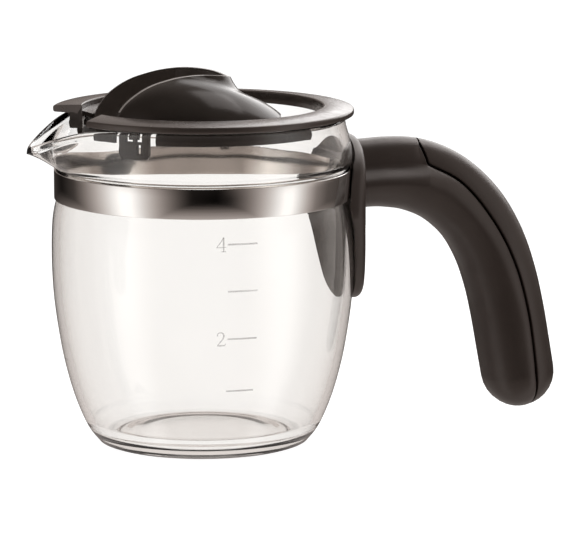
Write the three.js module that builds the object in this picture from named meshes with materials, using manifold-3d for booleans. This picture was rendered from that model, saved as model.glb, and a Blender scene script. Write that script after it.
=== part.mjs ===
// A small glass coffee jug with a pouring spout, a steel neck band, a two-part plastic handle and a lift-off lid.
// Units are millimetres. The origin is the centre of the base underside, +Z is up,
// +X points to the handle and -X to the spout.
import * as THREE from "three";
import { mergeVertices } from "three/addons/utils/BufferGeometryUtils.js";
import Module from "manifold-3d";

const wasm = await Module();
wasm.setup();

// ---------------------------------------------------------------- driving dimensions
const GAP = 0.3; // left between pieces that touch
const DEG = Math.PI / 180;

// Glass body
const GLASS_WALL = 2.0;
const GLASS_SEGMENTS = 60;
const BASE_FLAT_R = 25.5;
const FLOOR_Z = 3.2;
const BELLY = [
  [28.6, 0.7],
  [31.4, 4.0],
  [34.8, 11.7],
  [37.6, 21.5],
  [39.4, 31.3],
  [40.6, 41.2],
  [41.05, 52.0],
  [40.7, 60.6],
]; // outer radius and height, heel to band
const BAND_SEAT_R = 39.3;
const RIM_Z = 88.8;
const NECK = [
  [40.4, 77.6],
  [40.1, 80.4],
  [39.4, 83.4],
  [38.6, 86.2],
]; // outer radius and height above the band
const SPOUT_REACH = 10.9; // how far the rim runs out at the spout
const SPOUT_DROP = 5.8; // how far the rim dips there
const SPOUT_ANGLE = 15; // degrees over which the spout dies away
const SPOUT_START_Z = 75.2;
const SPOUT_FULL_Z = 86.9;

// Neck band
const BAND_LOW_Z = 66.7;
const BAND_HIGH_Z = 74.6;
const BAND_THICKNESS = 0.5;
const BAND_INNER_R = BAND_SEAT_R + GAP;
const BAND_OUTER_R = BAND_INNER_R + BAND_THICKNESS;
const EAR_HALF_GAP = 3.9; // half the opening between the two out-turned ends
const EAR_END_X = 47.3;
const EAR_HOOK_HALF_GAP = 2.5;

// Clamp hardware, on one axis along X at the middle of the band
const CLAMP_Z = (BAND_LOW_Z + BAND_HIGH_Z) / 2;
const SCREW_R = 2.0;
const SCREW_LENGTH = 20;
const HEAD_R = 3.8;
const HEAD_HEIGHT = 2.5;
const WASHER_R = 4.5;
const WASHER_THICKNESS = 0.8;
const NUT_ACROSS = 7.0;
const NUT_THICKNESS = 2.3;
const ANCHOR_THICKNESS = 1.9;
const ANCHOR_HALF_WIDTH = 3.6;
const SEAT_X = 59.5; // wall in the handle that the washer bears on

// Handle
const HANDLE_LINE = [
  [40, 70.8],
  [52, 71.0],
  [60, 69.9],
  [68.8, 66.1],
  [77.2, 58.6],
  [82.8, 49.4],
  [86.2, 40.1],
  [88.4, 31.1],
  [90.5, 20.0],
  [91.8, 12.9],
]; // centre line from the glass to the middle of the round tail
const ARM_HALF_HEIGHT = 9.4;
const TAIL_HALF_HEIGHT = 10.1;
const HANDLE_HALF_WIDTH = 10.5;
const SECTION_POWER = 2.25; // 2 is an ellipse, more is squarer
const HANDLE_WALL = 2.6;
const SHIELD_OUTER_R = 44.0;
const SHIELD_ARCH_R = 20;
const SHIELD_ARCH_Z = 62;
const SHIELD_SIDE = [
  [17.8, 57.4],
  [13.4, 46.6],
  [9.4, 40.4],
  [5.2, 37.6],
  [0, 36.6],
]; // half width and height below the arch
const COVER_EDGE_TOP = [
  [60.2, 96],
  [60.5, 80.0],
  [61.8, 76.0],
  [62.4, 73.4],
]; // front edge of the cover
const COVER_EDGE_LONG = [
  [62.4, 73.4],
  [71.8, 68.1],
  [81.0, 57.0],
  [87.4, 44.4],
  [91.2, 31.0],
  [93.2, 17.6],
  [93.6, -4.0],
]; // long edge of the cover down to the tail

// Lid ring
const LID_SEGMENTS = 60;
const RING_OUTER_R = 40.75;
const RING_INNER_R = 32.4;
const RING_UNDER_Z = RIM_Z + GAP;
const RING_TOP_Z = 91.6;
const SKIRT_OUTER_R = 36.0;
const SKIRT_WALL = 1.4;
const SKIRT_LOW_Z = 85.0;
const SKIRT_END_ANGLE = 124; // measured from the spout, each way
const LIP_INNER_R = 28.3;
const NOTCH_OUTER = [37.0, 17.0]; // |x|, |y| of the notch corners
const NOTCH_INNER = [30.7, 10.2];
const NOTCH_TIP = [26.0, 9.6];
const TAB_ANGLE = 43.4; // measured from the spout, each way
const TAB_HALF_ANGLE = 7.0;
const TAB_SLOT_ANGLE = 3.1;
const TAB_LOW_Z = 81.2;

// Lid hood
const HOOD_X = -4.3;
const HOOD_R = 25.15;
const HOOD_WALL = 1.8;
const HOOD_SHOULDER_Z = 89.0;
const HOOD_RISE = 9.4;
const PLATE_LOW_Z = 86.0;
const PLATE_HIGH_Z = 87.3;
const SLOT_HALF_WIDTH = 8.3;
const SLOT_END_X = -2.1; // centre of the slot's round end
const SLOT_WALL = 1.3;
const BACK_OPENING_ANGLE = 58; // measured from the handle, each way
const RIDGE = [
  [-27.6, 88.0],
  [-26.3, 90.9],
  [-24.0, 94.0],
  [-20.2, 96.7],
  [-16.5, 98.5],
  [-12.7, 99.6],
  [-9.0, 100.4],
  [-3.0, 100.85],
  [3.4, 100.3],
  [6.1, 99.7],
  [7.6, 98.8],
]; // top edge of the slot walls, x and height

// ---------------------------------------------------------------- helpers
function solidOf(geometry) {
  const bare = geometry.clone();
  bare.deleteAttribute("normal");
  bare.deleteAttribute("uv");
  const merged = mergeVertices(bare, 1e-4);
  return new wasm.Manifold(
    new wasm.Mesh({
      numProp: 3,
      vertProperties: merged.attributes.position.array,
      triVerts: new Uint32Array(merged.index.array),
    }),
  );
}

function geometryOf(solid) {
  const mesh = solid.getMesh();
  const geometry = new THREE.BufferGeometry();
  geometry.setAttribute("position", new THREE.BufferAttribute(mesh.vertProperties, 3));
  geometry.setIndex(new THREE.BufferAttribute(mesh.triVerts, 1));
  geometry.computeVertexNormals();
  return geometry;
}

const vectors = (pairs) => pairs.map(([a, b]) => new THREE.Vector2(a, b));

// A profile of [radius, height] points turned about Z. It runs anticlockwise, from the axis back to the axis.
function turned(profile, segments) {
  return new THREE.LatheGeometry(vectors(profile), segments).rotateX(Math.PI / 2);
}

// The same for a profile that closes on itself, as a solid.
function ring(profile, segments) {
  return solidOf(turned([...profile, profile[0]], segments));
}

// A shape in the XY plane as a solid from z = low to z = high.
function prism(shape, low, high, curveSegments = 24) {
  const options = { depth: high - low, bevelEnabled: false, curveSegments };
  return solidOf(new THREE.ExtrudeGeometry(shape, options).translate(0, 0, low));
}

// A shape whose axes are X and Z as a solid that reaches halfDepth each way along Y.
function sidePrism(shape, halfDepth) {
  const options = { depth: 2 * halfDepth, bevelEnabled: false };
  const geometry = new THREE.ExtrudeGeometry(shape, options);
  return solidOf(geometry.translate(0, 0, -halfDepth).rotateX(Math.PI / 2));
}

// A shape whose axes are Y and Z as a solid from x = low to x = high.
function frontPrism(shape, low, high, curveSegments = 12) {
  const options = { depth: high - low, bevelEnabled: false, curveSegments };
  const geometry = new THREE.ExtrudeGeometry(shape, options).translate(0, 0, low);
  const axes = new THREE.Matrix4().makeBasis(
    new THREE.Vector3(0, 1, 0),
    new THREE.Vector3(0, 0, 1),
    new THREE.Vector3(1, 0, 0),
  );
  return solidOf(geometry.applyMatrix4(axes));
}

function box(low, high) {
  const size = high.map((value, axis) => value - low[axis]);
  const middle = high.map((value, axis) => (value + low[axis]) / 2);
  return solidOf(new THREE.BoxGeometry(...size).translate(...middle));
}

// A cylinder along X on the clamp axis.
function clampRod(radius, low, high, segments = 24) {
  const geometry = new THREE.CylinderGeometry(radius, radius, high - low, segments);
  geometry.rotateZ(Math.PI / 2).translate((low + high) / 2, 0, CLAMP_Z);
  return solidOf(geometry);
}

function circle(x, radius) {
  const shape = new THREE.Shape();
  shape.absarc(x, 0, radius, 0, 2 * Math.PI);
  return shape;
}

// A wedge about Z between two angles from +X, in degrees.
function wedge(from, to, low, high) {
  const reach = 60;
  const shape = new THREE.Shape();
  shape.moveTo(0, 0);
  shape.lineTo(reach * Math.cos(from * DEG), reach * Math.sin(from * DEG));
  shape.absarc(0, 0, reach, from * DEG, to * DEG);
  return prism(shape, low, high);
}

// The same wedge twice, between angles from the spout, on both sides of it.
function wedgePair(from, to, low, high) {
  return wedge(180 - to, 180 - from, low, high).add(wedge(180 + from, 180 + to, low, high));
}

const material = (color, roughness, metalness = 0, extra = {}) =>
  new THREE.MeshStandardMaterial({ color, roughness, metalness, ...extra });

const mesh = (name, geometry, look) => {
  const made = new THREE.Mesh(geometry, look);
  made.name = name;
  return made;
};

const SATIN_BLACK = material(0x2b2625, 0.5);
const GLOSS_BLACK = material(0x1c1a19, 0.15);
const POLISHED_STEEL = material(0xc9c6c2, 0.12, 1);
const ZINC_STEEL = material(0xb4b4b0, 0.35, 1);
const CLEAR_GLASS = material(0xf2f4f3, 0.03, 0, { transparent: true, opacity: 0.3 });

// ---------------------------------------------------------------- glass body
const bellyCurve = new THREE.SplineCurve(vectors(BELLY));

// Outer profile without the spout, from the heel to the rim.
function glassOutside() {
  const belly = bellyCurve.getPoints(11).map((point) => [point.x, point.y]);
  return [
    [BASE_FLAT_R, 0],
    ...belly,
    [39.9, BAND_LOW_Z - 1.6],
    [BAND_SEAT_R, BAND_LOW_Z - 0.5],
    [BAND_SEAT_R, BAND_HIGH_Z + 0.4],
    ...NECK,
  ];
}

// The rim runs out and down near the spout, and the steps round the glass crowd together there.
function drawSpout(geometry) {
  const crowding = 0.5;
  const position = geometry.getAttribute("position");
  for (let i = 0; i < position.count; i++) {
    const radius = Math.hypot(position.getX(i), position.getY(i));
    const even = Math.atan2(position.getY(i), -position.getX(i));
    const angle = even - crowding * Math.sin(even);
    const height = position.getZ(i);
    const above = (height - SPOUT_START_Z) / (SPOUT_FULL_Z - SPOUT_START_Z);
    const share = THREE.MathUtils.clamp(above, 0, 1);
    const across = Math.exp(-((Math.abs(angle) / (SPOUT_ANGLE * DEG)) ** 1.35));
    const reached = radius + SPOUT_REACH * across * share ** 1.25;
    position.setXYZ(
      i,
      -reached * Math.cos(angle),
      reached * Math.sin(angle),
      height - SPOUT_DROP * across * share ** 1.6,
    );
  }
  return geometry;
}

function glassJug() {
  const outside = glassOutside();
  const inside = outside
    .filter(([, height]) => height > FLOOR_Z + 1)
    .map(([radius, height]) => [radius - GLASS_WALL, height])
    .reverse();
  const rim = [
    [38.3, RIM_Z - 0.6],
    [37.6, RIM_Z],
    [36.9, RIM_Z - 0.5],
  ];
  const floor = [
    [29.2, FLOOR_Z + 1.0],
    [26.5, FLOOR_Z],
    [0, FLOOR_Z],
  ];
  const geometry = turned([[0, 0], ...outside, ...rim, ...inside, ...floor], GLASS_SEGMENTS);
  return mesh("glass_jug", drawSpout(geometry), CLEAR_GLASS);
}

// ---------------------------------------------------------------- neck band and its clamp
function clampBand() {
  const strap = ring(
    [
      [BAND_INNER_R, BAND_LOW_Z],
      [BAND_OUTER_R, BAND_LOW_Z],
      [BAND_OUTER_R, BAND_HIGH_Z],
      [BAND_INNER_R, BAND_HIGH_Z],
    ],
    72,
  );
  const opening = box([30, -EAR_HALF_GAP, 60], [50, EAR_HALF_GAP, 80]);
  const earOuter = EAR_HALF_GAP + BAND_THICKNESS;
  let band = strap.subtract(opening);
  for (const side of [-1, 1]) {
    const across = (a, b) => [Math.min(side * a, side * b), Math.max(side * a, side * b)];
    const [earLow, earHigh] = across(EAR_HALF_GAP, earOuter);
    const [hookLow, hookHigh] = across(EAR_HOOK_HALF_GAP, earOuter);
    const ear = box([BAND_INNER_R - 0.2, earLow, BAND_LOW_Z], [EAR_END_X, earHigh, BAND_HIGH_Z]);
    const hook = box(
      [EAR_END_X - BAND_THICKNESS, hookLow, BAND_LOW_Z],
      [EAR_END_X, hookHigh, BAND_HIGH_Z],
    );
    band = band.add(ear).add(hook);
  }
  return mesh("clamp_band", geometryOf(band), POLISHED_STEEL);
}

const ANCHOR_END_X = EAR_END_X - BAND_THICKNESS - GAP;
const NUT_END_X = ANCHOR_END_X - ANCHOR_THICKNESS - GAP;
const WASHER_START_X = SEAT_X + GAP;
const HEAD_START_X = WASHER_START_X + WASHER_THICKNESS + GAP;

function bandAnchor() {
  const low = [ANCHOR_END_X - ANCHOR_THICKNESS, -ANCHOR_HALF_WIDTH, BAND_LOW_Z + 0.6];
  const high = [ANCHOR_END_X, ANCHOR_HALF_WIDTH, BAND_HIGH_Z - 0.6];
  const plate = box(low, high).subtract(clampRod(SCREW_R + GAP, 30, 60));
  return mesh("band_anchor", geometryOf(plate), ZINC_STEEL);
}

function squareNut() {
  const half = NUT_ACROSS / 2;
  const low = [NUT_END_X - NUT_THICKNESS, -half, CLAMP_Z - half];
  const high = [NUT_END_X, half, CLAMP_Z + half];
  const nut = box(low, high).subtract(clampRod(SCREW_R + GAP, 30, 60));
  return mesh("square_nut", geometryOf(nut), ZINC_STEEL);
}

function clampScrew() {
  const shank = clampRod(SCREW_R, HEAD_START_X - SCREW_LENGTH, HEAD_START_X + 1);
  const head = solidOf(
    turned(
      [
        [0, 0],
        [HEAD_R, 0],
        [HEAD_R, 0.9],
        [HEAD_R - 0.5, 1.8],
        [HEAD_R - 1.6, HEAD_HEIGHT],
        [0, HEAD_HEIGHT],
      ],
      24,
    )
      .rotateY(Math.PI / 2)
      .translate(HEAD_START_X, 0, CLAMP_Z),
  );
  const recessFrom = HEAD_START_X + HEAD_HEIGHT - 1.3;
  const recessTo = HEAD_START_X + HEAD_HEIGHT + 1;
  const blade = (halfY, halfZ) =>
    box([recessFrom, -halfY, CLAMP_Z - halfZ], [recessTo, halfY, CLAMP_Z + halfZ]);
  const screw = shank.add(head).subtract(blade(2.0, 0.45)).subtract(blade(0.45, 2.0));
  return mesh("clamp_screw", geometryOf(screw), ZINC_STEEL);
}

function screwWasher() {
  const disc = clampRod(WASHER_R, WASHER_START_X, WASHER_START_X + WASHER_THICKNESS);
  const washer = disc.subtract(clampRod(SCREW_R + GAP, 50, 70));
  return mesh("screw_washer", geometryOf(washer), ZINC_STEEL);
}

// ---------------------------------------------------------------- handle
const handleCurve = new THREE.CatmullRomCurve3(
  HANDLE_LINE.map(([x, z]) => new THREE.Vector3(x, 0, z)),
  false,
  "centripetal",
);

// One cross-section, square to the centre line, as a list of points.
function section(along, inset, beyond, scale, sides) {
  const centre = handleCurve.getPointAt(along);
  const tangent = handleCurve.getTangentAt(along);
  const outward = new THREE.Vector3(-tangent.z, 0, tangent.x);
  centre.addScaledVector(tangent, beyond);
  const height = THREE.MathUtils.lerp(ARM_HALF_HEIGHT, TAIL_HALF_HEIGHT, along) - inset;
  const width = HANDLE_HALF_WIDTH - inset;
  const bulge = (value) => Math.sign(value) * Math.abs(value) ** (2 / SECTION_POWER);
  return Array.from({ length: sides }, (_, i) => {
    const angle = (2 * Math.PI * i) / sides;
    const point = centre.clone().addScaledVector(outward, scale * height * bulge(Math.cos(angle)));
    point.y += scale * width * bulge(Math.sin(angle));
    return point;
  });
}

// A skin over a row of sections, closed by a fan at each end.
function loft(sections) {
  const sides = sections[0].length;
  const last = (sections.length - 1) * sides;
  const index = [];
  for (let row = 0; row < sections.length - 1; row++) {
    for (let i = 0; i < sides; i++) {
      const a = row * sides + i;
      const b = row * sides + ((i + 1) % sides);
      index.push(a, a + sides, b, b, a + sides, b + sides);
    }
  }
  for (let i = 1; i < sides - 1; i++) {
    index.push(0, i, i + 1);
    index.push(last, last + i + 1, last + i);
  }
  const geometry = new THREE.BufferGeometry().setFromPoints(sections.flat());
  return solidOf(geometry.setIndex(index));
}

function handleOutside() {
  const sides = 24;
  const steps = 20;
  const sections = [];
  for (let i = 0; i <= steps; i++) sections.push(section(i / steps, 0, 0, 1, sides));
  for (const angle of [20, 40, 58, 73, 84]) {
    const beyond = TAIL_HALF_HEIGHT * Math.sin(angle * DEG);
    sections.push(section(1, 0, beyond, Math.cos(angle * DEG), sides));
  }
  return loft(sections);
}

// The hollow behind the cover, from the screw seat to the tail.
function handleHollow() {
  const steps = 14;
  const begin = (SEAT_X - HANDLE_LINE[0][0] - 4) / handleCurve.getLength();
  const sections = [];
  for (let i = 0; i <= steps; i++) {
    sections.push(section(begin + ((1 - begin) * i) / steps, HANDLE_WALL, 0, 1, 16));
  }
  return loft(sections).subtract(box([30, -20, 40], [SEAT_X, 20, 90]));
}

// The half space that the cover fills, with its edge moved outwards by shift.
function coverZone(shift) {
  const edge = [
    ...vectors(COVER_EDGE_TOP),
    ...new THREE.SplineCurve(vectors(COVER_EDGE_LONG)).getPoints(18).slice(1),
  ];
  const moved = edge.map((point, i) => {
    const before = edge[Math.max(0, i - 1)];
    const after = edge[Math.min(edge.length - 1, i + 1)];
    const run = after.clone().sub(before).normalize();
    return point.clone().add(new THREE.Vector2(-run.y, run.x).multiplyScalar(shift));
  });
  const far = 130;
  const shape = new THREE.Shape([
    ...moved,
    new THREE.Vector2(far, moved.at(-1).y),
    new THREE.Vector2(far, moved[0].y),
  ]);
  return sidePrism(shape, 20);
}

// The plate that hugs the glass, before the glass is cut out of it.
function shield() {
  const outer = ring(
    [
      [36, 34],
      [SHIELD_OUTER_R - 1.8, 34],
      [SHIELD_OUTER_R - 0.4, 40],
      [SHIELD_OUTER_R, 50],
      [SHIELD_OUTER_R, 72],
      [SHIELD_OUTER_R - 0.7, 79],
      [SHIELD_OUTER_R - 2.0, 82.4],
      [36, 83],
    ],
    72,
  );
  const right = vectors(SHIELD_SIDE);
  const left = vectors(SHIELD_SIDE.slice(0, -1).map(([y, z]) => [-y, z])).reverse();
  const shape = new THREE.Shape();
  shape.moveTo(-SHIELD_ARCH_R, SHIELD_ARCH_Z);
  shape.absarc(0, SHIELD_ARCH_Z, SHIELD_ARCH_R, Math.PI, 0, true);
  shape.splineThru(right);
  shape.splineThru([...left, new THREE.Vector2(-SHIELD_ARCH_R, SHIELD_ARCH_Z)]);
  return outer.intersect(frontPrism(shape, 20, 60, 10));
}

// Room for the glass and the band inside the handle.
function glassRoom() {
  const slack = 0.4;
  const profile = glassOutside().map(([radius, height]) => {
    const nearBand = height > BAND_LOW_Z - 2 && height < BAND_HIGH_Z + 1;
    return [nearBand ? BAND_OUTER_R + slack : radius + slack, height];
  });
  return solidOf(turned([[0, 0], ...profile, [38, 96], [0, 96]], 72));
}

function handleParts() {
  const halfGap = GAP / 2;
  const outside = handleOutside();
  const hollow = handleHollow();
  const pocket = box([36, -4.8, BAND_LOW_Z - 0.4], [EAR_END_X + 0.5, 4.8, BAND_HIGH_Z + 0.4]);
  const body = outside
    .add(shield())
    .subtract(coverZone(-halfGap))
    .subtract(glassRoom())
    .subtract(hollow)
    .subtract(pocket)
    .subtract(clampRod(SCREW_R + 0.4, 40, SEAT_X + 1));
  const cover = outside.intersect(coverZone(halfGap)).subtract(hollow);
  return [
    mesh("handle_body", geometryOf(body), SATIN_BLACK),
    mesh("handle_cover", geometryOf(cover), SATIN_BLACK),
  ];
}

// ---------------------------------------------------------------- lid ring
const SKIRT_INNER_R = RING_INNER_R;

// A rectangular section turned about Z.
function hoop(innerR, outerR, low, high) {
  return ring(
    [
      [innerR, low],
      [outerR, low],
      [outerR, high],
      [innerR, high],
    ],
    LID_SEGMENTS,
  );
}

function pourNotch() {
  const far = 60;
  const spread = (far - NOTCH_OUTER[0]) * 1.06 + NOTCH_OUTER[1];
  const side = [NOTCH_TIP, NOTCH_INNER, NOTCH_OUTER, [far, spread]];
  const upper = side.map(([x, y]) => [-x, y]);
  const lower = side.map(([x, y]) => [-x, -y]).reverse();
  const tip = [-LIP_INNER_R + 6, 0];
  return prism(new THREE.Shape(vectors([tip, ...upper, ...lower])), 70, 100);
}

function snapTabs() {
  const wall = ring(
    [
      [SKIRT_OUTER_R - 1.3, TAB_LOW_Z],
      [SKIRT_OUTER_R, TAB_LOW_Z],
      [SKIRT_OUTER_R + 0.25, TAB_LOW_Z + 1.0],
      [SKIRT_OUTER_R, TAB_LOW_Z + 2.4],
      [SKIRT_OUTER_R, RING_UNDER_Z + 0.2],
      [SKIRT_OUTER_R - 1.3, RING_UNDER_Z + 0.2],
    ],
    LID_SEGMENTS,
  );
  const from = TAB_ANGLE - TAB_HALF_ANGLE;
  const to = TAB_ANGLE + TAB_HALF_ANGLE;
  return wall.intersect(wedgePair(from, to, TAB_LOW_Z - 1, RING_UNDER_Z + 1));
}

function lidRing() {
  const flange = ring(
    [
      [RING_INNER_R, 88.3],
      [RING_INNER_R + SKIRT_WALL, 88.3],
      [RING_INNER_R + SKIRT_WALL, RING_UNDER_Z],
      [RING_OUTER_R - 0.7, RING_UNDER_Z],
      [RING_OUTER_R, RING_UNDER_Z + 0.8],
      [RING_OUTER_R - 0.3, 90.65],
      [RING_OUTER_R - 1.1, 90.95],
      [RING_INNER_R + 0.9, RING_TOP_Z],
      [RING_INNER_R, RING_TOP_Z - 0.5],
    ],
    LID_SEGMENTS,
  );
  const topZ = RING_UNDER_Z + 0.2;
  const outerSkirt = hoop(SKIRT_OUTER_R - SKIRT_WALL, SKIRT_OUTER_R, SKIRT_LOW_Z, topZ);
  const innerSkirt = hoop(SKIRT_INNER_R, SKIRT_INNER_R + SKIRT_WALL, SKIRT_LOW_Z, topZ);
  const fullSkirt = hoop(SKIRT_INNER_R, SKIRT_OUTER_R, SKIRT_LOW_Z, topZ);
  const endWebs = fullSkirt.intersect(
    wedgePair(14, 23.5, 80, 92).add(
      wedgePair(SKIRT_END_ANGLE - 2.4, SKIRT_END_ANGLE, 80, 92),
    ),
  );
  const lip = ring(
    [
      [LIP_INNER_R, 87.7],
      [RING_INNER_R + 0.2, 88.8],
      [RING_INNER_R + 0.2, 90.0],
      [LIP_INNER_R, 88.6],
    ],
    LID_SEGMENTS,
  );
  const slots = wedgePair(
    TAB_ANGLE - TAB_HALF_ANGLE - TAB_SLOT_ANGLE,
    TAB_ANGLE - TAB_HALF_ANGLE,
    80,
    RING_UNDER_Z - 0.7,
  ).add(
    wedgePair(
      TAB_ANGLE + TAB_HALF_ANGLE,
      TAB_ANGLE + TAB_HALF_ANGLE + TAB_SLOT_ANGLE,
      80,
      RING_UNDER_Z - 0.7,
    ),
  );
  const backEnd = 180 - SKIRT_END_ANGLE;
  const backWedge = wedge(-backEnd, backEnd, 80, 100);
  const hoodRoom = prism(circle(HOOD_X, HOOD_R + GAP), 80, 100);
  const lowered = outerSkirt
    .subtract(slots)
    .add(innerSkirt)
    .add(endWebs)
    .add(lip.subtract(hoodRoom))
    .subtract(backWedge);
  const made = flange.add(lowered).add(snapTabs()).subtract(pourNotch());
  return mesh("lid_ring", geometryOf(made), SATIN_BLACK);
}

// ---------------------------------------------------------------- lid hood
// The plan of the slot, open towards the spout and round behind.
function slotShape(halfWidth) {
  const shape = new THREE.Shape();
  shape.moveTo(-40, -halfWidth);
  shape.lineTo(SLOT_END_X, -halfWidth);
  shape.absarc(SLOT_END_X, 0, halfWidth, -Math.PI / 2, Math.PI / 2);
  shape.lineTo(-40, halfWidth);
  return shape;
}

function hoodDome() {
  const steps = 10;
  const arc = (radius, rise) =>
    Array.from({ length: steps + 1 }, (_, i) => {
      const angle = (Math.PI / 2) * (i / steps);
      return [radius * Math.cos(angle), HOOD_SHOULDER_Z + rise * Math.sin(angle)];
    });
  const inner = arc(HOOD_R - HOOD_WALL, HOOD_RISE - HOOD_WALL).reverse();
  const outer = arc(HOOD_R, HOOD_RISE);
  inner[0][0] = 0;
  outer[steps][0] = 0;
  const foot = [
    [HOOD_R - HOOD_WALL, PLATE_LOW_Z],
    [HOOD_R, PLATE_LOW_Z],
  ];
  const geometry = turned([...inner, ...foot, ...outer], LID_SEGMENTS);
  return solidOf(geometry.translate(HOOD_X, 0, 0));
}

function lidHood() {
  const plateR = SKIRT_INNER_R - GAP - 0.1;
  const plate = prism(circle(0, plateR), PLATE_LOW_Z, PLATE_HIGH_Z)
    .subtract(wedge(-BACK_OPENING_ANGLE, BACK_OPENING_ANGLE, 80, 100))
    .subtract(prism(circle(HOOD_X, HOOD_R - HOOD_WALL), 80, 100));
  const slotRoom = prism(slotShape(SLOT_HALF_WIDTH), 80, 110, 10);
  const ridgeShape = new THREE.Shape(
    vectors([[-40, 80], [-40, RIDGE[0][1]], ...RIDGE, [30, RIDGE.at(-1)[1]], [30, 80]]),
  );
  const walls = prism(slotShape(SLOT_HALF_WIDTH + SLOT_WALL), PLATE_LOW_Z, 110, 10)
    .intersect(prism(circle(HOOD_X, HOOD_R - 0.05), 80, 110))
    .intersect(sidePrism(ridgeShape, 30));
  const made = hoodDome().add(plate).add(walls).subtract(slotRoom);
  return mesh("lid_hood", geometryOf(made), GLOSS_BLACK);
}

// ---------------------------------------------------------------- assembly
const jug = new THREE.Group();
jug.add(glassJug(), clampBand(), bandAnchor(), squareNut(), clampScrew(), screwWasher());
jug.add(...handleParts());

const lid = new THREE.Group();
lid.add(lidRing(), lidHood());

const coffeeJug = new THREE.Group();
coffeeJug.add(jug, lid);

export default coffeeJug;
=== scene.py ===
"""A small glass coffee jug: blown glass, a polished band, a two-part black handle and a lift-off lid."""

from math import acos, asin, atan2, copysign, cos, exp, hypot, pi, radians, sin, sqrt, tan

import bmesh
import bpy
import numpy as np
from mathutils import Matrix, Vector


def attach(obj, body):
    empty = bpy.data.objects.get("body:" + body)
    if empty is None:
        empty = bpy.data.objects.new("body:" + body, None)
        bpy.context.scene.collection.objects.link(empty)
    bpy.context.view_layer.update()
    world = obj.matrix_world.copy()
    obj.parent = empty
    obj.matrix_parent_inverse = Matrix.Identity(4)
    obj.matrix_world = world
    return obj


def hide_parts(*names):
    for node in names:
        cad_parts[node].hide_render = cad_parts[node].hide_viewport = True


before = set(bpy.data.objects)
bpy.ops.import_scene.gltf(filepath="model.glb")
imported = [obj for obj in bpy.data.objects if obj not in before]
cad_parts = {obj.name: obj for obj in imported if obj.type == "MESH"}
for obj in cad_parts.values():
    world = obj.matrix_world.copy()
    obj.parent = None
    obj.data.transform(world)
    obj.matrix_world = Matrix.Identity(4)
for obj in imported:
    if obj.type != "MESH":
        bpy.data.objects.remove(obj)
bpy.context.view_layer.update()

MM = 0.001


# --- camera
CAMERA_AZIMUTH = radians(-17.0)
CAMERA_DISTANCE = 1011.1 * MM
CAMERA_HEIGHT = 225.8 * MM
CAMERA_PITCH = radians(10.1)
CAMERA_YAW = radians(1.188)
CAMERA_LENS = 243.2
SENSOR_WIDTH = 36.0

towards_camera = Vector((sin(CAMERA_AZIMUTH), -cos(CAMERA_AZIMUTH), 0))
camera_right = Vector((cos(CAMERA_AZIMUTH), sin(CAMERA_AZIMUTH), 0))
WORLD_UP = Vector((0, 0, 1))


def add_object(name, data):
    made = bpy.data.objects.new(name, data)
    bpy.context.scene.collection.objects.link(made)
    return made


def add_camera():
    level = camera_right * sin(CAMERA_YAW) - towards_camera * cos(CAMERA_YAW)
    right = level.cross(WORLD_UP)
    forward = level * cos(CAMERA_PITCH) - WORLD_UP * sin(CAMERA_PITCH)
    up = right.cross(forward)
    place = towards_camera * CAMERA_DISTANCE + WORLD_UP * CAMERA_HEIGHT
    data = bpy.data.cameras.new("camera")
    data.lens = CAMERA_LENS
    data.sensor_width = SENSOR_WIDTH
    data.sensor_fit = "HORIZONTAL"
    data.clip_end = 100.0
    camera = add_object("camera", data)
    turned = Matrix((right, up, -forward)).transposed().to_4x4()
    camera.matrix_world = Matrix.Translation(place) @ turned
    bpy.context.scene.camera = camera


add_camera()


# --- mesh helpers
def piece(name, points_mm, faces, sharp_angle=35.0):
    """A mesh object from points in millimetres, smooth apart from edges sharper than sharp_angle."""
    mesh = bpy.data.meshes.new(name)
    mesh.from_pydata([Vector(p) * MM for p in points_mm], [], [list(f) for f in faces])
    work = bmesh.new()
    work.from_mesh(mesh)
    bmesh.ops.remove_doubles(work, verts=work.verts, dist=1e-7)
    bmesh.ops.dissolve_degenerate(work, edges=work.edges, dist=1e-8)
    bmesh.ops.recalc_face_normals(work, faces=work.faces)
    work.to_mesh(mesh)
    work.free()
    return smooth(add_object(name, mesh), sharp_angle)


def smooth(made, sharp_angle=35.0):
    made.data.shade_smooth()
    made.data.set_sharp_from_angle(angle=radians(sharp_angle))
    return made


def grid_faces(rows, columns, wrap_rows=False, wrap_columns=True):
    faces = []
    for r in range(rows if wrap_rows else rows - 1):
        here, below = r * columns, (r + 1) % rows * columns
        for c in range(columns if wrap_columns else columns - 1):
            after = (c + 1) % columns
            faces.append((here + c, here + after, below + after, below + c))
    return faces


def tube(name, sections, sharp_angle=35.0):
    """A closed skin over a row of closed sections, with a flat face at each end."""
    sections = np.asarray(sections, float)
    rows, columns = sections.shape[:2]
    faces = grid_faces(rows, columns)
    faces.append(tuple(range(columns)))
    faces.append(tuple(range((rows - 1) * columns, rows * columns)))
    return piece(name, sections.reshape(-1, 3), faces, sharp_angle)


def rectangle(left, right, low, high):
    return [(left, low), (right, low), (right, high), (left, high)]


def directions(path):
    """The unit direction of a path at each of its points."""
    run = np.gradient(path, axis=0)
    return run / np.linalg.norm(run, axis=1)[:, None]


def apply_modifiers(made):
    bpy.context.view_layer.update()
    shaped = made.evaluated_get(bpy.context.evaluated_depsgraph_get())
    mesh = bpy.data.meshes.new_from_object(shaped)
    made.modifiers.clear()
    made.data = mesh


def combine(base, tools, operation, sharp_angle=35.0):
    """Adds the tools to base, or takes them away, and removes them."""
    for tool in tools:
        step = base.modifiers.new(operation.lower(), "BOOLEAN")
        step.solver = "MANIFOLD"
        step.operation = operation
        step.object = tool
        apply_modifiers(base)
        bpy.data.objects.remove(tool)
    return smooth(base, sharp_angle)


# Which pairs of the four knots the curve is mixed between, level by level.
KNOT_PAIRS = (((0, 1), (1, 2), (2, 3)), ((0, 2), (1, 3)), ((1, 2),))


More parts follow.
